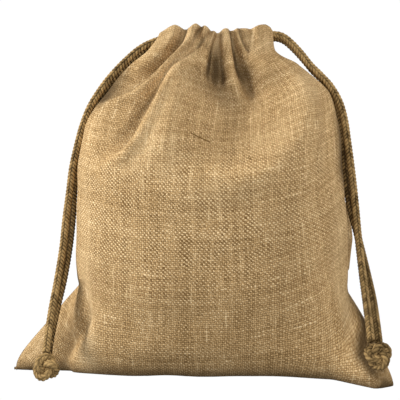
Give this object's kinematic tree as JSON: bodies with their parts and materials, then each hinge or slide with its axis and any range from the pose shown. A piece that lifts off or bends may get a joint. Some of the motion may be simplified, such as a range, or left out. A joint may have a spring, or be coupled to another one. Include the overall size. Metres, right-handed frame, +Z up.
{
  "type": "drawstring backpack",
  "caption": "Drawstring backpack of plain woven jute, standing filled out, its mouth gathered into pleats on braided cords that hang down both sides to knots at the bottom corners",
  "frame": {"origin": "centre of the cloth's bounding box, on the surface it stands on", "axes": "X along the bag's width to the right, Y from the front to the back, Z up"},
  "size_m": [0.3332, 0.2061, 0.319],
  "materials": {
    "jute_front": "matte plain weave",
    "jute_back": "matte plain weave",
    "cord": "matte braid"
  },
  "bodies": {
    "root": {"front_panel": "jute_front", "back_panel": "jute_back", "cord_left_front": "cord", "cord_left_back": "cord", "cord_right_front": "cord", "cord_right_back": "cord", "knot_left": "cord", "knot_right": "cord"}
  },
  "joints": []
}
